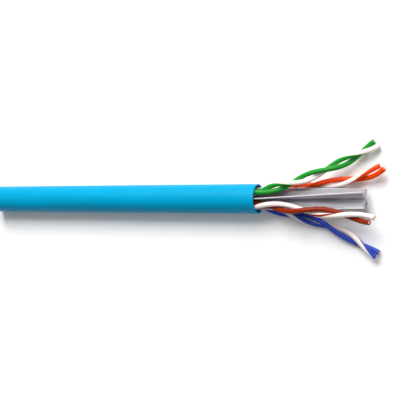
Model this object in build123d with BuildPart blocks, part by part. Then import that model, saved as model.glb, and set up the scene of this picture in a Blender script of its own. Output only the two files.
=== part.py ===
"""Four-pair data cable, stripped at one end to show its twisted pairs and cross filler.

X runs along the cable towards the stripped end, Z is up, and the origin is the centre of
the jacket's mouth. The jacket lies on the plane z = -jacket_r. Millimetres and degrees.
"""
import os
from math import ceil, cos, hypot, pi, radians, sin, sqrt, tan

from build123d import *

# Conductors and their insulation
conductor_d = 0.57  # solid copper, 23 gauge
conductor_gap = 0.005  # between the copper and its insulation
wire_d = 1.12  # over the insulation
wire_gap = 0.02  # between the two wires of a pair

# Cross filler
web_t = 0.25
fin_root_r = 0.15
fin_tip_gap = 0.45  # from a fin's tip to the jacket's bore
filler_free = 24.7  # length past the jacket's mouth

# Jacket
jacket_wall = 0.40
jacket_len = 78.0
jacket_edge_r = 0.06
fit_gap = 0.04  # between a pair and what holds it

# Lays: the length in which something turns once
core_lay = 260.0  # the four pairs and the filler together, left-handed
core_steps = 24  # route points in one turn of the core
runs_per_turn = 12  # straight runs in one turn of a wire about its pair
filler_step = 3.6  # between two sections of the filler

# Past the mouth, each pair opens a little
fan_slack = 0.10
fan_slack_run = 7.0
cut_allowance = 1.5  # wire length trimmed off flush with the cut end

# Sizes that follow
twist_r = (wire_d + wire_gap) / 2
pair_reach = twist_r + wire_d / 2
seat = web_t / 2 + fit_gap + pair_reach
seat_r = sqrt(2) * seat
bore_r = seat_r + pair_reach + fit_gap
jacket_r = bore_r + jacket_wall
fin_reach = bore_r - fin_tip_gap

# Each pair: its seat round the core from +Y towards +Z, the lay and hand of its twist,
# the first wire's angle at the mouth, the two wires' trims, and its route past the mouth
pairs = {
    "green": dict(
        seat_angle=45,
        lay=16.5,
        hand=1,
        phase=85,
        trims=(0.4, 0.0),
        fan=[
            (3.6, 2.2, 1.5),
            (8.2, 3.35, 1.4),
            (12.6, 4.9, 0.8),
            (16.6, 6.6, -0.1),
            (20.2, 8.25, -1.0),
            (23.6, 10.05, -1.8),
            (26.7, 12.05, -2.4),
        ],
    ),
    "orange": dict(
        seat_angle=-45,
        lay=19.2,
        hand=-1,
        phase=330,
        trims=(0.0, 0.7),
        fan=[
            (3.0, 1.45, -1.45),
            (7.0, 2.15, -1.95),
            (11.0, 2.85, -2.12),
            (15.0, 3.2, -2.12),
            (19.0, 3.65, -2.0),
            (22.8, 4.4, -1.7),
            (26.0, 5.5, -1.3),
            (28.4, 6.85, -0.95),
        ],
    ),
    "brown": dict(
        seat_angle=135,
        lay=18.5,
        hand=-1,
        phase=313,
        trims=(0.7, 0.1),
        fan=[
            (3.6, -1.42, 1.5),
            (7.2, -2.05, 1.95),
            (10.8, -2.5, 2.2),
            (14.4, -2.85, 2.4),
            (18.0, -3.1, 2.5),
            (21.5, -3.55, 2.45),
            (24.7, -4.1, 2.7),
            (27.3, -4.5, 3.9),
        ],
    ),
    "blue": dict(
        seat_angle=225,
        lay=17.8,
        hand=1,
        phase=110,
        trims=(0.0, 0.0),
        fan=[
            (3.0, -2.2, -1.65),
            (6.4, -3.4, -1.9),
            (9.8, -4.15, -1.95),
            (13.0, -5.05, -1.95),
            (16.2, -6.15, -1.95),
            (19.4, -7.6, -1.95),
            (22.6, -9.45, -1.95),
            (26.7, -12.15, -1.95),
        ],
    ),
}

os.makedirs("parts", exist_ok=True)


def core_turn(x):
    """Angle that the core has turned through at x, none at the mouth."""
    return -360 * x / core_lay


def arc_radii(points):
    """Radius of the arc that rounds each corner of a run of points."""
    radii = []
    for before, corner, after in zip(points, points[1:], points[2:]):
        run_in = Vector(corner) - Vector(before)
        run_out = Vector(after) - Vector(corner)
        shorter = min(run_in.length, run_out.length)
        half_turn = radians(run_in.get_angle(run_out)) / 2
        radii.append(0.45 * shorter / tan(half_turn))
    return radii


def pair_points(pair):
    """Route of a pair's centre: a slow helix inside the jacket, then its fan."""
    inside = jacket_len + cut_allowance
    steps = ceil(inside * core_steps / core_lay)
    corner_r = seat_r / cos(pi / core_steps)
    points = []
    for i in range(steps + 1):
        x = inside * (i / steps - 1)
        angle = radians(pair["seat_angle"] + core_turn(x))
        points.append((x, corner_r * cos(angle), corner_r * sin(angle)))
    return points + pair["fan"]


def opening(past_mouth):
    """How far each wire of a pair has moved out from its twist, past the mouth."""
    share = min(max(past_mouth / fan_slack_run, 0), 1)
    return fan_slack * share * share * (3 - 2 * share)


def wire_points(pair, side):
    """Corners of one wire's path: a helix about its pair's route. side is 0 or 1."""
    with BuildLine() as route:
        points = pair_points(pair)
        FilletPolyline(*points, radius=arc_radii(points))
    line = route.wires()[0]
    inside = jacket_len + cut_allowance
    mouth = hypot(inside, 2 * pi * seat_r * inside / core_lay)
    end = line.length - pair["trims"][side]
    runs = ceil(end * runs_per_turn / pair["lay"])
    corners = []
    for i in range(runs + 1):
        along = end * i / runs
        place = line.position_at(along, PositionMode.LENGTH)
        ahead = line.tangent_at(along, PositionMode.LENGTH)
        across = (Vector(0, 1, 0) - ahead * ahead.Y).normalized()
        over = ahead.cross(across)
        turn = pair["phase"] + 180 * side + pair["hand"] * 360 * (along - mouth) / pair["lay"]
        reach = (twist_r + opening(along - mouth)) / cos(pi / runs_per_turn)
        corners.append(
            place + across * (reach * cos(radians(turn))) + over * (reach * sin(radians(turn)))
        )
    return corners


def swept_wire(corners, outer_d, inner_d):
    """A round wire, hollow if inner_d isn't 0, cut flush with the jacket's cut end."""
    with BuildPart() as wire:
        with BuildLine() as path:
            FilletPolyline(*corners, radius=arc_radii(corners))
        with BuildSketch(Plane(origin=path.line @ 0, z_dir=path.line % 0)):
            Circle(outer_d / 2)
            if inner_d > 0:
                Circle(inner_d / 2, mode=Mode.SUBTRACT)
        sweep(path=path.wires()[0])
        split(bisect_by=Plane.YZ.offset(-jacket_len))
    return wire


def save(piece, name):
    """Label a piece and write its STEP file."""
    piece.part.label = name
    export_step(piece.part, f"parts/{name}.step")


# Jacket: a plain tube with its cut edges just broken
with BuildPart() as jacket:
    with BuildSketch(Plane.YZ.offset(-jacket_len)):
        Circle(jacket_r)
        Circle(bore_r, mode=Mode.SUBTRACT)
    extrude(amount=jacket_len)
    fillet(jacket.edges().filter_by(GeomType.CIRCLE), jacket_edge_r)
save(jacket, "jacket")

# Cross filler: a cross with rounded roots, turning with the core
with BuildPart() as cross_filler:
    sections = ceil((jacket_len + filler_free) / filler_step)
    for i in range(sections + 1):
        x = -jacket_len + (jacket_len + filler_free) * i / sections
        turn = radians(core_turn(x))
        with BuildSketch(Plane((x, 0, 0), x_dir=(0, cos(turn), sin(turn)), z_dir=(1, 0, 0))) as cross:
            Rectangle(2 * fin_reach, web_t)
            Rectangle(web_t, 2 * fin_reach)
            roots = cross.vertices().sort_by_distance((0, 0, 0))[:4]
            fillet(roots, fin_root_r)
    loft(ruled=True)
save(cross_filler, "cross_filler")

# Eight wires: in each pair one is coloured all over and one is white with a stripe
for colour, pair in pairs.items():
    print(colour, "route radii:", [round(r) for r in arc_radii(pair_points(pair))])
    for side, wire_name in enumerate((colour, f"white_{colour}")):
        corners = wire_points(pair, side)
        print(wire_name, "tightest arc:", round(min(arc_radii(corners)), 1))
        insulation_bore = conductor_d + 2 * conductor_gap
        save(swept_wire(corners, wire_d, insulation_bore), f"insulation_{wire_name}")
        save(swept_wire(corners, conductor_d, 0), f"conductor_{wire_name}")

print("jacket diameter:", round(2 * jacket_r, 2), "bore:", round(2 * bore_r, 2))
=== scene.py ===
"""A stripped four-pair data cable: its jacket, cross filler, twisted wires and conductors.

X runs along the cable towards the stripped end, Z is up, and the origin is the centre of
the jacket's mouth. The cable lies on a floor at the bottom of the jacket. Metres.
"""
from math import ceil, cos, pi, radians, sin, sqrt

import bmesh
import bpy
from mathutils import Matrix, Vector


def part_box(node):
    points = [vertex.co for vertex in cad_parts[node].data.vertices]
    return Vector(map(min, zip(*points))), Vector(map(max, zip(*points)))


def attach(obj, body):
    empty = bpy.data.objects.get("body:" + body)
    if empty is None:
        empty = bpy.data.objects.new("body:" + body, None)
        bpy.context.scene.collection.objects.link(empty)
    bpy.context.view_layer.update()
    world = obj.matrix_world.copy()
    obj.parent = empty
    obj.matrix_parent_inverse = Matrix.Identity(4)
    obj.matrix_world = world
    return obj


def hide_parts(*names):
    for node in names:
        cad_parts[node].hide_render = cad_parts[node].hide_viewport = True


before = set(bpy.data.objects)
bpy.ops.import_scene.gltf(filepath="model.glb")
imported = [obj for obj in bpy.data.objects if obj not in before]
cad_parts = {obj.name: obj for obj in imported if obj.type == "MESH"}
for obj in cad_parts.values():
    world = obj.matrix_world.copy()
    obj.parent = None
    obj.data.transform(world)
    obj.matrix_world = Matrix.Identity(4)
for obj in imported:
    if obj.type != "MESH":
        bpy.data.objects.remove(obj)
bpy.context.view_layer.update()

bl_info = {
    "name": "Stripped Data Cable",
    "version": (1, 0, 0),
    "blender": (4, 5, 0),
    "location": "View3D > Sidebar > Cable",
    "description": "Builds a stripped four-pair data cable and a stage to show it on",
    "category": "Object",
}

MM = 0.001

# Where the frame puts the cable
JACKET_LOW, JACKET_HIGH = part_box("jacket")
JACKET_LENGTH = JACKET_HIGH[0] - JACKET_LOW[0]
JACKET_RADIUS = (JACKET_HIGH[2] - JACKET_LOW[2]) / 2
FILLER_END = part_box("cross_filler")[1][0]
FLOOR_HEIGHT = JACKET_LOW[2]

# The core: what lies inside the jacket turns as one, left-handed, none at the mouth
CORE_LAY = 260 * MM
CORE_STEPS = 24  # route points in one turn
SEAT = 1.295 * MM  # from the middle of each fin to the pair beside it
SEAT_RADIUS = sqrt(2) * SEAT

# Small sizes that stay as they are
JACKET_EDGE = 0.06 * MM
INSULATION_EDGE = 0.05 * MM
COPPER_EDGE = 0.02 * MM
COPPER_GAP = 0.005 * MM  # between a conductor and its insulation
FIN_ROOT = 0.15 * MM
BLANK_LENGTH = 107 * MM  # of a wire before it is bent, which sets its true length
FLUSH_RUN = 2 * MM  # length in which a wire's end is kept flush with the cut

# How finely the pieces are made: points round them, and the longest step along them
JACKET_AROUND, JACKET_STEP = 128, 0.6 * MM
INSULATION_AROUND, COPPER_AROUND, WIRE_STEP = 28, 20, 0.25 * MM
FIN_POINTS, FILLER_STEP = 8, 0.5 * MM
EDGE_MIDDLE = 0.3  # where a broken edge's middle point lies, as a share of its width

# Each pair: its seat round the core from +Y towards +Z, its lay and hand (1 is right-handed),
# the first wire's angle at the mouth, the angle and width of the white wire's stripe, the two
# wires' trims, and its route past the mouth. Millimetres and degrees.
PAIRS = {
    "green": dict(
        seat=45,
        lay=16.5,
        hand=1,
        phase=85,
        stripe=(100, 125),
        trims=(0.4, 0.0),
        fan=[
            (3.6, 2.2, 1.5),
            (8.2, 3.35, 1.4),
            (12.6, 4.9, 0.8),
            (16.6, 6.6, -0.1),
            (20.2, 8.25, -1.0),
            (23.6, 10.05, -1.8),
            (26.7, 12.05, -2.4),
        ],
    ),
    "orange": dict(
        seat=-45,
        lay=19.2,
        hand=-1,
        phase=330,
        stripe=(100, 130),
        trims=(0.0, 0.7),
        fan=[
            (3.0, 1.45, -1.45),
            (7.0, 2.15, -1.95),
            (11.0, 2.85, -2.12),
            (15.0, 3.2, -2.12),
            (19.0, 3.65, -2.0),
            (22.8, 4.4, -1.7),
            (26.0, 5.5, -1.3),
            (28.4, 6.85, -0.95),
        ],
    ),
    "brown": dict(
        seat=135,
        lay=18.5,
        hand=-1,
        phase=313,
        stripe=(-90, 50),
        trims=(0.7, 0.1),
        fan=[
            (3.6, -1.42, 1.5),
            (7.2, -2.05, 1.95),
            (10.8, -2.5, 2.2),
            (14.4, -2.85, 2.4),
            (18.0, -3.1, 2.5),
            (21.5, -3.55, 2.45),
            (24.7, -4.1, 2.7),
            (27.3, -4.5, 3.9),
        ],
    ),
    "blue": dict(
        seat=225,
        lay=17.8,
        hand=1,
        phase=110,
        stripe=(-90, 125),
        trims=(0.0, 0.0),
        fan=[
            (3.0, -2.2, -1.65),
            (6.4, -3.4, -1.9),
            (9.8, -4.15, -1.95),
            (13.0, -5.05, -1.95),
            (16.2, -6.15, -1.95),
            (19.4, -7.6, -1.95),
            (22.6, -9.45, -1.95),
            (26.7, -12.15, -1.95),
        ],
    ),
}

# Lights: the place, width and power of each, and the strength of the plain white sky
LIGHTS = {
    "key_light": ((-0.05, 0.36, 0.36), 0.40, 4.6),
    "top_light": ((0.10, 0.02, 0.60), 0.50, 0.5),
    "end_light": ((0.45, -0.10, 0.25), 0.30, 0.4),
}
SKY = 0.15
FLOOR_WIDTH = 4

# Inputs and outputs that a node gives no name of their own
TRIM_FROM, TRIM_TO = 4, 5
MIX_FACTOR, MIX_FIRST, MIX_SECOND, MIX_RESULT = 0, 6, 7, 2


# ---------------------------------------------------------------- settings


def size(name, description, millimetres):
    """A length that a user can change, shown in the scene's units."""
    return bpy.props.FloatProperty(
        name=name, description=description, default=millimetres * MM, unit="LENGTH", precision=5
    )


def colour(name, description, rgb):
    """A colour that a user can change."""
    return bpy.props.FloatVectorProperty(
        name=name, description=description, default=rgb, subtype="COLOR", size=3, min=0, max=1
    )


class CableSizes(bpy.types.PropertyGroup):
    """Sizes of the cable's pieces."""

    jacket_wall: size("Jacket wall", "Thickness of the jacket", 0.40)
    impression: size("Core impression", "How far the pairs show through the jacket", 0.012)
    web: size("Web", "Thickness of the filler's fins", 0.25)
    fin_tip_gap: size("Fin gap", "From a fin's tip to the jacket's bore", 0.45)
    fin_wave: size("Fin wave", "How far a fin's edge wanders from true", 0.05)
    wire: size("Wire", "Diameter over the insulation", 1.12)
    conductor: size("Conductor", "Diameter of the bare copper", 0.57)
    wire_gap: size("Wire gap", "Between the two wires of a pair", 0.02)
    opening: size("Opening", "How far a pair opens past the mouth", 0.10)
    opening_run: size("Opening run", "Length in which a pair opens", 7.0)
    copper_proud: size("Copper proud", "Copper left standing out of its insulation", 0.03)


class CableColours(bpy.types.PropertyGroup):
    """Colours of the cable's pieces."""

    jacket: colour("Jacket", "Outside of the jacket", (0.0, 0.285, 0.50))
    filler: colour("Filler", "Cross filler", (0.17, 0.162, 0.178))
    copper: colour("Copper", "Bare copper", (0.95, 0.48, 0.32))
    white: colour("White", "White wires", (0.82, 0.73, 0.69))
    green: colour("Green", "Green wire and stripe", (0.012, 0.26, 0.022))
    orange: colour("Orange", "Orange wire and stripe", (0.84, 0.058, 0.002))
    brown: colour("Brown", "Brown wire and stripe", (0.23, 0.020, 0.002))
    blue: colour("Blue", "Blue wire and stripe", (0.026, 0.064, 0.43))


class StageSettings(bpy.types.PropertyGroup):
    """The camera and lights."""

    lens: bpy.props.FloatProperty(
        name="Lens", description="Focal length of the camera", default=70.65, unit="CAMERA"
    )
    tilt: bpy.props.FloatProperty(
        name="Tilt",
        description="How far the view leans towards the stripped end",
        default=radians(27),
        subtype="ANGLE",
    )
    depth: size("Depth", "From the camera to the jacket's mouth", 178.5)
    along: size("Along", "How far the mouth is right of the middle of the view", 13.3)
    across: size("Across", "How far the mouth is above the middle of the view", 0.28)
    brightness: bpy.props.FloatProperty(
        name="Brightness", description="Strength of all the lights", default=1.0, min=0
    )


# ---------------------------------------------------------------- node helpers


class Nodes:
    """A node tree being written, with short ways to add what it needs."""

    def __init__(self, tree):
        self.tree = tree

    def wire(self, value, socket):
        """Join an output to an input, or set the input to a plain value."""
        if isinstance(value, bpy.types.NodeSocket):
            self.tree.links.new(value, socket)
        else:
            socket.default_value = value

    def node(self, kind, wired=(), **settings):
        """A node with its settings, and its inputs by name or number from wired."""
        made = self.tree.nodes.new(kind)
        for key, value in settings.items():
            setattr(made, key, value)
        for key, value in dict(wired).items():
            self.wire(value, made.inputs[key])
        return made.outputs

    def maths(self, operation, first, second=0.0, third=0.0):
        """One step of arithmetic."""
        wired = {0: first, 1: second, 2: third}
        return self.node("ShaderNodeMath", wired, operation=operation)[0]

    def vector(self, operation, first, second=(0.0, 0.0, 0.0)):
        """One step of vector arithmetic; a dot product gives a number."""
        made = self.node("ShaderNodeVectorMath", {0: first, 1: second}, operation=operation)
        return made["Value" if operation == "DOT_PRODUCT" else "Vector"]

    def scaled(self, first, factor):
        """A vector times a number."""
        wired = {0: first, "Scale": factor}
        return self.node("ShaderNodeVectorMath", wired, operation="SCALE")["Vector"]

    def length(self, vector):
        """Length of a vector."""
        return self.node("ShaderNodeVectorMath", {0: vector}, operation="LENGTH")["Value"]

    def eased(self, value, low, high, to_low=0.0, to_high=1.0):
        """Smooth step of a value from one range to another."""
        wired = {"Value": value, "From Min": low, "From Max": high}
        wired.update({"To Min": to_low, "To Max": to_high})
        return self.node("ShaderNodeMapRange", wired, interpolation_type="SMOOTHSTEP")[0]


class Shaper(Nodes):
    """A geometry node tree being written. It ends realised, with its material."""

    def __init__(self, name, inputs):
        super().__init__(bpy.data.node_groups.new(name, "GeometryNodeTree"))
        face = self.tree.interface
        face.new_socket("Geometry", in_out="OUTPUT", socket_type="NodeSocketGeometry")
        face.new_socket("Geometry", in_out="INPUT", socket_type="NodeSocketGeometry")
        for label, kind in {**inputs, "Material": "Material"}.items():
            face.new_socket(label, in_out="INPUT", socket_type="NodeSocket" + kind)
        self.given = self.tree.nodes.new("NodeGroupInput").outputs

    def wander(self, place, stretch, detail):
        """Noise from 0 to 1 at a number of grains per metre along each axis."""
        wired = {"Vector": self.vector("MULTIPLY", place, stretch)}
        wired.update({"Scale": 1.0, "Detail": detail})
        return self.node("ShaderNodeTexNoise", wired, noise_dimensions="3D")[0]

    def placed(self, socket, value):
        """Close the tree with its geometry moved by an offset or to a position."""
        wired = {"Geometry": self.given["Geometry"], socket: value}
        moved = self.node("GeometryNodeSetPosition", wired)[0]
        real = self.node("GeometryNodeRealizeInstances", {"Geometry": moved})[0]
        wired = {"Geometry": real, "Material": self.given["Material"]}
        done = self.node("GeometryNodeSetMaterial", wired)[0]
        end = self.tree.nodes.new("NodeGroupOutput")
        self.wire(done, end.inputs["Geometry"])
        return self.tree


def through_tree(piece, group, values):
    """Put a piece's mesh through a node tree and keep the result as its plain mesh."""
    modifier = piece.modifiers.new(group.name, "NODES")
    modifier.node_group = group
    for item in group.interface.items_tree:
        if item.in_out == "INPUT" and item.name in values:
            modifier[item.identifier] = values[item.name]
    depsgraph = bpy.context.evaluated_depsgraph_get()
    depsgraph.update()
    evaluated = piece.evaluated_get(depsgraph)
    made = bpy.data.meshes.new_from_object(
        evaluated, preserve_all_data_layers=True, depsgraph=depsgraph
    )
    piece.modifiers.remove(modifier)
    blank, piece.data = piece.data, made
    bpy.data.meshes.remove(blank)
    made.name = piece.name


def strand_tree():
    """Bends a straight blank along one strand of a pair.

    A blank lies along X from 0 to its length. Its +Y side ends up facing the pair's
    centre all the way, and its first end is flush with the cable's cut end.
    """
    twist = ("Blank length", "Lay", "Hand", "Phase", "Twist radius", "Opening")
    ends = ("Opening run", "Mouth", "Trim", "Flush run")
    inputs = {"Route": "Object", **dict.fromkeys(twist + ends, "Float")}
    tree = Shaper("Strand of a pair", inputs)
    given = tree.given

    # Each point of the pair's route moves out to the strand, turning with the twist
    route = tree.node("GeometryNodeObjectInfo", {"Object": given["Route"]})["Geometry"]
    fine = tree.node(
        "GeometryNodeResampleCurve", {"Curve": route, "Length": WIRE_STEP}, mode="LENGTH"
    )[0]
    along = tree.node("GeometryNodeSplineParameter")["Length"]
    ahead = tree.node("GeometryNodeInputTangent")[0]
    lean = tree.vector("DOT_PRODUCT", ahead, (0.0, 1.0, 0.0))
    level = tree.vector("SUBTRACT", (0.0, 1.0, 0.0), tree.scaled(ahead, lean))
    across = tree.vector("NORMALIZE", level)
    over = tree.vector("CROSS_PRODUCT", ahead, across)
    past_mouth = tree.maths("SUBTRACT", along, given["Mouth"])
    turns = tree.maths("DIVIDE", past_mouth, given["Lay"])
    swing = tree.maths("MULTIPLY", tree.maths("MULTIPLY", turns, 2 * pi), given["Hand"])
    angle = tree.maths("ADD", swing, given["Phase"])
    outward = tree.vector(
        "ADD",
        tree.scaled(across, tree.maths("COSINE", angle)),
        tree.scaled(over, tree.maths("SINE", angle)),
    )
    opened = tree.eased(past_mouth, 0.0, given["Opening run"])
    reach = tree.maths("MULTIPLY_ADD", opened, given["Opening"], given["Twist radius"])
    kept = tree.node("GeometryNodeCaptureAttribute", {"Geometry": fine}, domain="POINT")
    capture = kept["Geometry"].node
    capture.capture_items.new("VECTOR", "Outward")
    tree.wire(outward, capture.inputs["Outward"])
    strand = tree.node(
        "GeometryNodeSetPosition",
        {"Geometry": capture.outputs["Geometry"], "Offset": tree.scaled(outward, reach)},
    )[0]
    whole = tree.node("GeometryNodeCurveLength", {"Curve": strand})[0]
    end = tree.maths("SUBTRACT", whole, given["Trim"])
    trimmed = tree.node(
        "GeometryNodeTrimCurve",
        {"Curve": strand, TRIM_FROM: 0.0, TRIM_TO: end},
        mode="LENGTH",
    )[0]

    # Each point of the blank goes to its share of the strand
    place = tree.node("GeometryNodeInputPosition")[0]
    x, y, z = tree.node("ShaderNodeSeparateXYZ", {"Vector": place})
    share = tree.maths("DIVIDE", x, given["Blank length"])
    sampled = tree.node(
        "GeometryNodeSampleCurve",
        {"Curves": trimmed, "Value": capture.outputs["Outward"], "Factor": share},
        mode="FACTOR",
        data_type="FLOAT_VECTOR",
        use_all_curves=False,
    )
    centre, ahead, out = sampled["Position"], sampled["Tangent"], sampled["Value"]
    stray = tree.vector("DOT_PRODUCT", out, ahead)
    square = tree.vector("SUBTRACT", tree.scaled(ahead, stray), out)
    inward = tree.vector("NORMALIZE", square)
    side = tree.vector("CROSS_PRODUCT", ahead, inward)
    offset = tree.vector("ADD", tree.scaled(inward, y), tree.scaled(side, z))

    # Near the cut end it slides along the strand, until it is flush with the cut
    lag = tree.maths(
        "DIVIDE",
        tree.vector("DOT_PRODUCT", offset, (1.0, 0.0, 0.0)),
        tree.vector("DOT_PRODUCT", ahead, (1.0, 0.0, 0.0)),
    )
    hold = tree.eased(x, 0.0, given["Flush run"], 1.0, 0.0)
    flush = tree.scaled(ahead, tree.maths("MULTIPLY", lag, hold))
    bent = tree.vector("SUBTRACT", tree.vector("ADD", centre, offset), flush)
    return tree.placed("Position", bent)


def core_twist_tree():
    """Turns a straight cross into the filler, with a little wander along its fins."""
    tree = Shaper("Core twist", {"Lay": "Float", "Wave": "Float", "Reach": "Float"})
    given = tree.given
    place = tree.node("GeometryNodeInputPosition")[0]
    x = tree.node("ShaderNodeSeparateXYZ", {"Vector": place})["X"]
    centred = tree.maths("SUBTRACT", tree.wander(place, (90.0, 260.0, 260.0), 1.0), 0.5)
    lift = tree.maths("DIVIDE", given["Wave"], given["Reach"])
    flat = tree.vector("MULTIPLY", place, (0.0, 1.0, 1.0))
    sideways = tree.vector("CROSS_PRODUCT", flat, (1.0, 0.0, 0.0))
    share = tree.maths("DIVIDE", tree.length(flat), given["Reach"])
    amount = tree.maths("MULTIPLY", tree.maths("MULTIPLY", centred, share), lift)
    wavy = tree.vector("ADD", place, tree.scaled(sideways, amount))
    turn = tree.maths("MULTIPLY", tree.maths("DIVIDE", x, given["Lay"]), -2 * pi)
    turned = tree.node(
        "ShaderNodeVectorRotate", {"Vector": wavy, "Angle": turn}, rotation_type="X_AXIS"
    )[0]
    return tree.placed("Position", turned)


def jacket_skin_tree():
    """Lets the four pairs show faintly through the jacket, as a slow swell round it."""
    tree = Shaper("Jacket skin", {"Lay": "Float", "Depth": "Float", "Radius": "Float"})
    given = tree.given
    place = tree.node("GeometryNodeInputPosition")[0]
    x, y, z = tree.node("ShaderNodeSeparateXYZ", {"Vector": place})
    bearing = tree.maths("ARCTAN2", z, y)
    turn = tree.maths("MULTIPLY", tree.maths("DIVIDE", x, given["Lay"]), 2 * pi)
    seat = tree.maths("SUBTRACT", tree.maths("ADD", bearing, turn), pi / 4)
    ripple = tree.maths("COSINE", tree.maths("MULTIPLY", seat, float(len(PAIRS))))

    # The swell is full on the outside and fades quickly towards the bore
    flat = tree.vector("MULTIPLY", place, (0.0, 1.0, 1.0))
    depth = tree.maths("DIVIDE", tree.length(flat), given["Radius"])
    outside = tree.maths("POWER", depth, 8.0)
    wander = tree.wander(place, (60.0, 120.0, 120.0), 2.0)
    sunk = tree.maths("SUBTRACT", tree.maths("ADD", ripple, wander), 2.0)
    amount = tree.maths("MULTIPLY", tree.maths("MULTIPLY", sunk, given["Depth"]), outside)
    outward = tree.vector("NORMALIZE", flat)
    return tree.placed("Offset", tree.scaled(outward, tree.maths("MULTIPLY", amount, 0.5)))


# ---------------------------------------------------------------- mesh helpers


def new_piece(name, mesh):
    """An object for a mesh, in the scene's own collection, smooth all over."""
    piece = bpy.data.objects.new(name, mesh)
    bpy.context.scene.collection.objects.link(piece)
    for face in mesh.polygons:
        face.use_smooth = True
    return piece


def turned_blank(name, profile, around, closed):
    """A straight blank along X, turned from a profile of (along, radius, cut) points.

    A closed profile makes a tube with a wall; an open one starts and ends on the axis.
    Its UV map, straight, holds the distance along in millimetres and the share of a turn.
    Its attribute, cut, is 1 on the cut ends and 0 on the rest.
    """
    vertices, cuts, faces, places = [], [], [], []
    for along, radius, cut in profile:
        for i in range(around):
            angle = 2 * pi * i / around
            vertices.append((along, radius * cos(angle), radius * sin(angle)))
            cuts.append(cut)
    rings = len(profile)
    for ring in range(rings if closed else rings - 1):
        after = (ring + 1) % rings
        for i in range(around):
            j = (i + 1) % around
            faces.append(
                (ring * around + i, after * around + i, after * around + j, ring * around + j)
            )
            first, second = profile[ring][0] / MM, profile[after][0] / MM
            near, far = i / around, (i + 1) / around
            places += [(first, near), (second, near), (second, far), (first, far)]
    if not closed:
        for ring, step in ((0, 1), (rings - 1, -1)):
            pole = len(vertices)
            vertices.append((profile[ring][0], 0, 0))
            cuts.append(1)
            for i in range(around):
                ends = (ring * around + i, ring * around + (i + 1) % around)
                faces.append((pole, *ends[::step]))
                turns = (i / around, (i + 1) / around)[::step]
                along = profile[ring][0] / MM
                places += [(along, sum(turns) / 2), (along, turns[0]), (along, turns[1])]
    mesh = bpy.data.meshes.new(name)
    mesh.from_pydata(vertices, [], faces)
    layer = mesh.uv_layers.new(name="straight")
    for corner, place in zip(layer.data, places):
        corner.uv = place
    cut_layer = mesh.attributes.new("cut", "FLOAT", "POINT")
    cut_layer.data.foreach_set("value", cuts)
    mesh.update()
    return mesh


def evenly(start, end, step):
    """Places from start to end, both included, no more than step apart."""
    count = max(ceil(abs(end - start) / step), 1)
    return [start + (end - start) * i / count for i in range(count + 1)]


def tube_profile(length, outer, inner, edge, step):
    """Profile of a tube with broken edges, once round its wall."""
    middle, corner = (outer + inner) / 2, EDGE_MIDDLE * edge
    profile = [(along, outer, 0) for along in evenly(edge, length - edge, step)]
    profile += [(length - corner, outer - corner, 0), (length, outer - edge, 1)]
    profile += [(length, middle, 1), (length, inner, 1)]
    profile += [(along, inner, 0) for along in evenly(length - edge, edge, step)]
    profile += [(0, inner, 1), (0, middle, 1)]
    return profile + [(0, outer - edge, 1), (corner, outer - corner, 0)]


def rod_profile(length, radius, edge, step):
    """Profile of a rod with broken edges, from its first end to its last."""
    middle, corner = radius / 2, EDGE_MIDDLE * edge
    profile = [(0, middle, 1), (0, radius - edge, 1), (corner, radius - corner, 0)]
    profile += [(along, radius, 0) for along in evenly(edge, length - edge, step)]
    profile += [(length - corner, radius - corner, 0), (length, radius - edge, 1)]
    return profile + [(length, middle, 1)]


def outward_faces(mesh):
    """Turn every face of a closed mesh to look outwards."""
    shape = bmesh.new()
    shape.from_mesh(mesh)
    bmesh.ops.recalc_face_normals(shape, faces=shape.faces)
    shape.to_mesh(mesh)
    shape.free()


# ---------------------------------------------------------------- materials


class Finish(Nodes):
    """A material being written round one principled shader."""

    def __init__(self, name):
        self.material = bpy.data.materials.new(name)
        self.material.use_nodes = True
        super().__init__(self.material.node_tree)
        self.shader = self.tree.nodes["Principled BSDF"]

    def surface(self, **values):
        """Set or wire the shader's own inputs; underscores stand for spaces."""
        for key, value in values.items():
            self.wire(value, self.shader.inputs[key.replace("_", " ")])

    def noise(self, where, scale, detail=2.0, stretch=(1.0, 1.0, 1.0)):
        """Noise from 0 to 1 at a number of grains per millimetre, stretched along axes."""
        mapped = self.node("ShaderNodeMapping", {"Vector": where, "Scale": stretch})[0]
        return self.node(
            "ShaderNodeTexNoise", {"Vector": mapped, "Scale": scale, "Detail": detail}
        )[0]

    def rough(self, noise, smooth, dull):
        """Roughness that follows a noise."""
        return self.eased(noise, 0.2, 0.8, smooth, dull)

    def mix(self, factor, first, second):
        """Blend of two colours."""
        wired = {MIX_FACTOR: factor, MIX_FIRST: first, MIX_SECOND: second}
        return self.node("ShaderNodeMix", wired, data_type="RGBA")[MIX_RESULT]

    def drifting(self, noise, rgb, darker, lighter):
        """A colour that drifts between two shades of itself with a noise."""
        return self.mix(self.eased(noise, 0.3, 0.7), rgba(rgb, darker), rgba(rgb, lighter))

    def cut(self):
        """1 on a piece's cut ends and 0 on the rest of it."""
        return self.node("ShaderNodeAttribute", attribute_name="cut")["Fac"]

    def bump(self, height, distance, strength=1.0, under=None):
        """Bump of a height in metres over an optional first one."""
        wired = {"Height": height, "Distance": distance, "Strength": strength}
        if under is not None:
            wired["Normal"] = under
        return self.node("ShaderNodeBump", wired)[0]

    def millimetres(self):
        """Object coordinates in millimetres."""
        return self.scaled(self.node("ShaderNodeTexCoord")["Object"], 1 / MM)

    def straightened(self):
        """A wire's own coordinates: millimetres along, and where round it, without a seam."""
        uv = self.node("ShaderNodeUVMap", uv_map="straight")["UV"]
        along, turn, _ = self.node("ShaderNodeSeparateXYZ", {"Vector": uv})
        angle = self.maths("MULTIPLY", turn, 2 * pi)
        wired = {"X": along, "Y": self.maths("COSINE", angle), "Z": self.maths("SINE", angle)}
        return self.node("ShaderNodeCombineXYZ", wired)[0], turn


def rgba(rgb, shade=1.0):
    """A colour with its alpha, lighter or darker by a share."""
    return (*(min(channel * shade, 1.0) for channel in rgb), 1.0)


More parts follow.
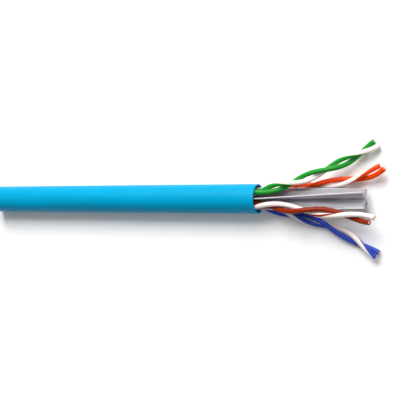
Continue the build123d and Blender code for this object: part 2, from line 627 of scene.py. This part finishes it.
def jacket_finish(rgb):
    """Satin soft PVC: faint grain, drawn lines along it and a slow drift in its colour."""
    finish = Finish("jacket_pvc")
    place = finish.millimetres()
    drift = finish.noise(place, 0.25, stretch=(0.35, 1.0, 1.0))
    lines = finish.noise(place, 3.0, stretch=(0.02, 1.0, 1.0))
    grain = finish.noise(place, 7.0, detail=3.0)
    tone = finish.drifting(drift, rgb, 0.97, 1.04)
    finish.surface(
        Base_Color=finish.mix(finish.cut(), tone, rgba(rgb, 0.9)),
        Roughness=finish.rough(grain, 0.36, 0.46),
        Specular_IOR_Level=0.06,
        Subsurface_Weight=0.04,
        Subsurface_Radius=(0.5, 0.8, 1.0),
        Subsurface_Scale=0.4 * MM,
        Normal=finish.bump(lines, 0.006 * MM, under=finish.bump(grain, 0.004 * MM)),
    )
    return finish.material


def filler_finish(rgb, reach):
    """Milky grey polyethylene, streaked along the fins, with a painted highlight along their
    edges.
    """
    finish = Finish("filler_polyethylene")
    uv = finish.node("ShaderNodeUVMap", uv_map="straight")["UV"]
    streaks = finish.noise(uv, 2.2, detail=3.0, stretch=(0.05, 1.0, 1.0))
    cloud = finish.noise(uv, 0.35, stretch=(0.4, 1.0, 1.0))
    clouded = finish.maths("ADD", finish.maths("MULTIPLY", streaks, 0.6), cloud)
    blend = finish.eased(clouded, 0.55, 1.05)
    streaked = finish.mix(blend, rgba(rgb, 0.8), rgba(rgb, 1.35))
    # Painted highlight: the fins' outer edges get a much paler colour, standing in for light
    # scattering through their thin edges.
    across = finish.vector("MULTIPLY", finish.millimetres(), (0.0, 1.0, 1.0))
    edge = finish.eased(finish.length(across), reach / MM - 0.3, reach / MM - 0.05)
    finish.surface(
        Base_Color=finish.mix(edge, streaked, rgba(rgb, 2.8)),
        Roughness=finish.rough(streaks, 0.16, 0.3),
        IOR=1.5,
        Transmission_Weight=0.05,
        Subsurface_Weight=1.0,
        Subsurface_Radius=(0.9, 0.9, 1.0),
        Subsurface_Scale=2.0 * MM,
        Specular_IOR_Level=0.35,
        Normal=finish.bump(streaks, 0.012 * MM),
    )
    return finish.material


def insulation_finish(name, rgb, stripe=None):
    """Glossy polyethylene, with a stripe printed along it where one is given.

    A stripe is its colour, its place round the wire and its width, both in turns.
    """
    finish = Finish(f"insulation_{name}")
    place, turn = finish.straightened()
    drift = finish.noise(place, 0.5, stretch=(0.4, 1.0, 1.0))
    lines = finish.noise(place, 2.5, stretch=(0.06, 2.0, 2.0))
    grain = finish.noise(finish.millimetres(), 9.0)
    tone = finish.drifting(drift, rgb, 0.94, 1.05)
    if stripe is not None:
        stripe_rgb, stripe_turn, stripe_width = stripe
        blur = 0.012
        wander = finish.maths("MULTIPLY", finish.maths("SUBTRACT", drift, 0.5), 0.03)
        near = finish.maths("ADD", finish.maths("SUBTRACT", turn, stripe_turn), wander)
        away = finish.maths("PINGPONG", near, 0.5)
        ink = finish.eased(away, stripe_width / 2 + blur, stripe_width / 2 - blur)
        tone = finish.mix(ink, tone, rgba(stripe_rgb))
    finish.surface(
        Base_Color=finish.mix(finish.cut(), tone, rgba(rgb, 0.85)),
        Roughness=finish.rough(grain, 0.24, 0.34),
        Specular_IOR_Level=0.14,
        Subsurface_Weight=0.04,
        Subsurface_Radius=(0.6, 0.6, 0.6),
        Subsurface_Scale=0.2 * MM,
        Normal=finish.bump(lines, 0.006 * MM, under=finish.bump(grain, 0.002 * MM)),
    )
    return finish.material


def copper_finish(rgb):
    """Bright drawn copper with die lines along it and shear marks on its cut ends."""
    finish = Finish("bare_copper")
    place, _ = finish.straightened()
    lines = finish.noise(place, 4.0, stretch=(0.03, 3.0, 3.0))
    shear = finish.noise(finish.millimetres(), 9.0, stretch=(1.0, 4.0, 0.5))
    tint = finish.noise(place, 0.8)
    finish.surface(
        Base_Color=finish.drifting(tint, rgb, 0.9, 1.05),
        Metallic=1.0,
        Roughness=finish.eased(finish.cut(), 0.0, 1.0, 0.28, 0.5),
        Normal=finish.bump(shear, 0.015 * MM, under=finish.bump(lines, 0.004 * MM)),
    )
    return finish.material


def floor_finish():
    """Plain pale paper."""
    finish = Finish("stage_paper")
    grain = finish.noise(finish.millimetres(), 0.5)
    finish.surface(
        Base_Color=finish.mix(grain, rgba([0.92] * 3), rgba([0.94] * 3)),
        Roughness=0.9,
        Specular_IOR_Level=0.1,
    )
    return finish.material


# ---------------------------------------------------------------- the cable's pieces


def pair_route_points(pair):
    """A pair's route in metres: a slow helix inside the jacket, then its fan."""
    steps = ceil(JACKET_LENGTH * CORE_STEPS / CORE_LAY)
    corner_radius = SEAT_RADIUS / cos(pi / CORE_STEPS)
    points = []
    for i in range(steps + 1):
        x = JACKET_LENGTH * (i / steps - 1)
        angle = radians(pair["seat"]) - 2 * pi * x / CORE_LAY
        points.append((x, corner_radius * cos(angle), corner_radius * sin(angle)))
    return points + [tuple(part * MM for part in point) for point in pair["fan"]]


def route_line(name, points):
    """A smooth line near the given points, as a curve object for building on."""
    curve = bpy.data.curves.new(name, "CURVE")
    curve.dimensions = "3D"
    spline = curve.splines.new("NURBS")
    spline.points.add(len(points) - 1)
    for point, place in zip(spline.points, points):
        point.co = (*place, 1.0)
    spline.order_u = 3
    spline.use_endpoint_u = True
    spline.resolution_u = 24
    line = bpy.data.objects.new(name, curve)
    bpy.context.scene.collection.objects.link(line)
    return line


class CABLE_OT_jacket(bpy.types.Operator):
    """Build the jacket, a round tube cut square at both ends"""

    bl_idname = "cable.jacket"
    bl_label = "Jacket"

    def execute(self, context):
        sizes, colours = context.scene.cable_sizes, context.scene.cable_colours
        bore = JACKET_RADIUS - sizes.jacket_wall
        profile = tube_profile(JACKET_LENGTH, JACKET_RADIUS, bore, JACKET_EDGE, JACKET_STEP)
        mesh = turned_blank("jacket_skin", profile, JACKET_AROUND, closed=True)
        mesh.transform(Matrix.Translation((-JACKET_LENGTH, 0, 0)))
        outward_faces(mesh)
        jacket = new_piece("jacket_skin", mesh)
        values = {
            "Lay": CORE_LAY,
            "Depth": sizes.impression,
            "Radius": JACKET_RADIUS,
            "Material": jacket_finish(colours.jacket),
        }
        through_tree(jacket, jacket_skin_tree(), values)
        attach(jacket, "root")
        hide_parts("jacket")
        return {"FINISHED"}


class CABLE_OT_filler(bpy.types.Operator):
    """Build the cross filler, which turns with the pairs"""

    bl_idname = "cable.filler"
    bl_label = "Cross filler"

    def outline(self, half, reach, root):
        """The cross's outline, with rounded roots and fin tips, once round."""
        start, end = half + root, reach - half
        side = [start + (end - start) * i / (FIN_POINTS - 1) for i in range(FIN_POINTS)]
        fin = [Vector((along, -half)) for along in side]
        for a in map(radians, (-60, -30, 0, 30, 60)):
            fin.append(Vector((end + half * cos(a), half * sin(a))))
        fin += [Vector((along, half)) for along in reversed(side)]
        for a in map(radians, (-112.5, -135, -157.5)):
            fin.append(Vector((start + root * cos(a), start + root * sin(a))))
        turns = [Matrix.Rotation(quarter * pi / 2, 2) for quarter in range(4)]
        return [turn @ point for turn in turns for point in fin]

    def execute(self, context):
        sizes, colours = context.scene.cable_sizes, context.scene.cable_colours
        reach = JACKET_RADIUS - sizes.jacket_wall - sizes.fin_tip_gap
        outline = self.outline(sizes.web / 2, reach, FIN_ROOT)
        count = len(outline)
        lengths = [0.0]
        for before, after in zip(outline, outline[1:] + outline[:1]):
            lengths.append(lengths[-1] + (after - before).length / MM)
        places = evenly(-JACKET_LENGTH, FILLER_END, FILLER_STEP)
        vertices = [(x, point.x, point.y) for x in places for point in outline]
        faces, uvs = [], []
        for ring, (x, after) in enumerate(zip(places, places[1:])):
            for i in range(count):
                j = (i + 1) % count
                low, high = ring * count, (ring + 1) * count
                faces.append((low + i, low + j, high + j, high + i))
                uvs += [(x / MM, lengths[i]), (x / MM, lengths[i + 1])]
                uvs += [(after / MM, lengths[i + 1]), (after / MM, lengths[i])]
        last = (len(places) - 1) * count
        faces.append(tuple(range(count - 1, -1, -1)))
        uvs += [(places[0] / MM, lengths[i]) for i in range(count - 1, -1, -1)]
        faces.append(tuple(range(last, last + count)))
        uvs += [(places[-1] / MM, lengths[i]) for i in range(count)]
        mesh = bpy.data.meshes.new("filler_cross")
        mesh.from_pydata(vertices, [], faces)
        layer = mesh.uv_layers.new(name="straight")
        for corner, place in zip(layer.data, uvs):
            corner.uv = place
        outward_faces(mesh)
        filler = new_piece("filler_cross", mesh)
        for face in mesh.polygons:
            face.use_smooth = len(face.vertices) == 4
        values = {
            "Lay": CORE_LAY,
            "Wave": sizes.fin_wave,
            "Reach": reach,
            "Material": filler_finish(colours.filler, reach),
        }
        through_tree(filler, core_twist_tree(), values)
        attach(filler, "root")
        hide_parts("cross_filler")
        return {"FINISHED"}


class CABLE_OT_wires(bpy.types.Operator):
    """Build the four twisted pairs: eight insulations and the copper inside them"""

    bl_idname = "cable.wires"
    bl_label = "Twisted pairs"

    def strand_values(self, sizes, line, pair, side, material):
        """Values for the strand tree, for the insulation of one wire of a pair."""
        inside_turn = 2 * pi * SEAT_RADIUS / CORE_LAY
        return {
            "Route": line,
            "Material": material,
            "Blank length": BLANK_LENGTH,
            "Lay": pair["lay"] * MM,
            "Hand": float(pair["hand"]),
            "Phase": radians(pair["phase"] + 180 * side),
            "Twist radius": (sizes.wire + sizes.wire_gap) / 2,
            "Opening": sizes.opening,
            "Opening run": sizes.opening_run,
            "Mouth": JACKET_LENGTH * sqrt(1 + inside_turn**2),
            "Trim": pair["trims"][side] * MM + sizes.copper_proud,
            "Flush run": FLUSH_RUN,
        }

    def strand(self, name, tree, values, profile, around, closed):
        """One piece of a wire: a turned blank, bent by the strand tree."""
        mesh = turned_blank(name, profile, around, closed)
        outward_faces(mesh)
        piece = new_piece(name, mesh)
        through_tree(piece, tree, values)
        return piece

    def wire(self, name, sizes, tree, values, copper):
        """The insulation and the conductor of one wire."""
        bore = sizes.conductor / 2 + COPPER_GAP
        profile = tube_profile(BLANK_LENGTH, sizes.wire / 2, bore, INSULATION_EDGE, WIRE_STEP)
        around = INSULATION_AROUND
        wire = self.strand(f"wire_{name}", tree, values, profile, around, closed=True)
        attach(wire, "root")
        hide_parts(f"insulation_{name}")

        values = {**values, "Material": copper, "Trim": values["Trim"] - sizes.copper_proud}
        profile = rod_profile(BLANK_LENGTH, sizes.conductor / 2, COPPER_EDGE, WIRE_STEP)
        around = COPPER_AROUND
        core = self.strand(f"copper_{name}", tree, values, profile, around, closed=False)
        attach(core, "root")
        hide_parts(f"conductor_{name}")

    def execute(self, context):
        sizes, colours = context.scene.cable_sizes, context.scene.cable_colours
        tree = strand_tree()
        copper = copper_finish(colours.copper)
        for hue_name, pair in PAIRS.items():
            line = route_line(f"route_{hue_name}", pair_route_points(pair))
            hue = getattr(colours, hue_name)
            angle, width = pair["stripe"]
            stripe = (hue, (angle - 180) / 360 % 1, width / 360)
            plain = insulation_finish(hue_name, hue)
            striped = insulation_finish(f"white_{hue_name}", colours.white, stripe)
            wires = ((hue_name, plain), (f"white_{hue_name}", striped))
            for side, (name, material) in enumerate(wires):
                values = self.strand_values(sizes, line, pair, side, material)
                self.wire(name, sizes, tree, values, copper)
            bpy.data.objects.remove(line)
        return {"FINISHED"}


class CABLE_OT_stage(bpy.types.Operator):
    """Build the floor, the lights and the camera"""

    bl_idname = "cable.stage"
    bl_label = "Stage"

    def softbox(self, name, place, width, energy):
        """A square soft light that looks at the jacket's mouth."""
        light = bpy.data.lights.new(name, "AREA")
        light.size = width
        light.energy = energy
        box = bpy.data.objects.new(name, light)
        bpy.context.scene.collection.objects.link(box)
        box.location = place
        box.rotation_mode = "QUATERNION"
        box.rotation_quaternion = (-Vector(place)).to_track_quat("-Z", "Y")

    def execute(self, context):
        stage = context.scene.cable_stage
        right = Vector((cos(stage.tilt), 0, -sin(stage.tilt)))
        up = Vector((0, 1, 0))
        back = Vector((sin(stage.tilt), 0, cos(stage.tilt)))
        data = bpy.data.cameras.new("camera")
        data.lens = stage.lens
        data.clip_start, data.clip_end = 0.01, 10
        camera = bpy.data.objects.new("camera", data)
        context.scene.collection.objects.link(camera)
        place = stage.depth * back - stage.along * right - stage.across * up
        turn = Matrix((right, up, back)).transposed().to_4x4()
        camera.matrix_world = Matrix.Translation(place) @ turn
        context.scene.camera = camera

        bpy.ops.mesh.primitive_grid_add(x_subdivisions=4, y_subdivisions=4, size=FLOOR_WIDTH)
        floor = context.object
        floor.name = "stage_floor"
        floor.data.transform(Matrix.Translation((0, 0, FLOOR_HEIGHT)))
        floor.data.materials.append(floor_finish())

        for name, (place, width, power) in LIGHTS.items():
            self.softbox(name, place, width, power * stage.brightness)
        world = bpy.data.worlds.new("studio")
        world.use_nodes = True
        sky = world.node_tree.nodes["Background"]
        sky.inputs["Color"].default_value = (1.0, 1.0, 1.0, 1.0)
        sky.inputs["Strength"].default_value = SKY * stage.brightness
        context.scene.world = world
        context.scene.view_settings.view_transform = "Standard"
        return {"FINISHED"}


class CABLE_PT_panel(bpy.types.Panel):
    """Sizes, colours and the build steps in the sidebar"""

    bl_idname = "CABLE_PT_panel"
    bl_label = "Stripped Data Cable"
    bl_space_type = "VIEW_3D"
    bl_region_type = "UI"
    bl_category = "Cable"

    def draw(self, context):
        layout = self.layout
        for group in ("cable_sizes", "cable_colours", "cable_stage"):
            settings = getattr(context.scene, group)
            box = layout.box()
            for key in settings.bl_rna.properties.keys():
                if key not in ("rna_type", "name"):
                    box.prop(settings, key)
        for step in STEPS:
            layout.operator(step)


STEPS = ("cable.stage", "cable.jacket", "cable.wires", "cable.filler")
CLASSES = (
    CableSizes,
    CableColours,
    StageSettings,
    CABLE_OT_stage,
    CABLE_OT_jacket,
    CABLE_OT_wires,
    CABLE_OT_filler,
    CABLE_PT_panel,
)


def register():
    for each in CLASSES:
        bpy.utils.register_class(each)
    bpy.types.Scene.cable_sizes = bpy.props.PointerProperty(type=CableSizes)
    bpy.types.Scene.cable_colours = bpy.props.PointerProperty(type=CableColours)
    bpy.types.Scene.cable_stage = bpy.props.PointerProperty(type=StageSettings)


def unregister():
    del bpy.types.Scene.cable_stage
    del bpy.types.Scene.cable_colours
    del bpy.types.Scene.cable_sizes
    for each in reversed(CLASSES):
        bpy.utils.unregister_class(each)


def main():
    """Build everything in order."""
    register()
    for step in STEPS:
        family, name = step.split(".")
        getattr(getattr(bpy.ops, family), name)()


if __name__ == "__main__":
    main()
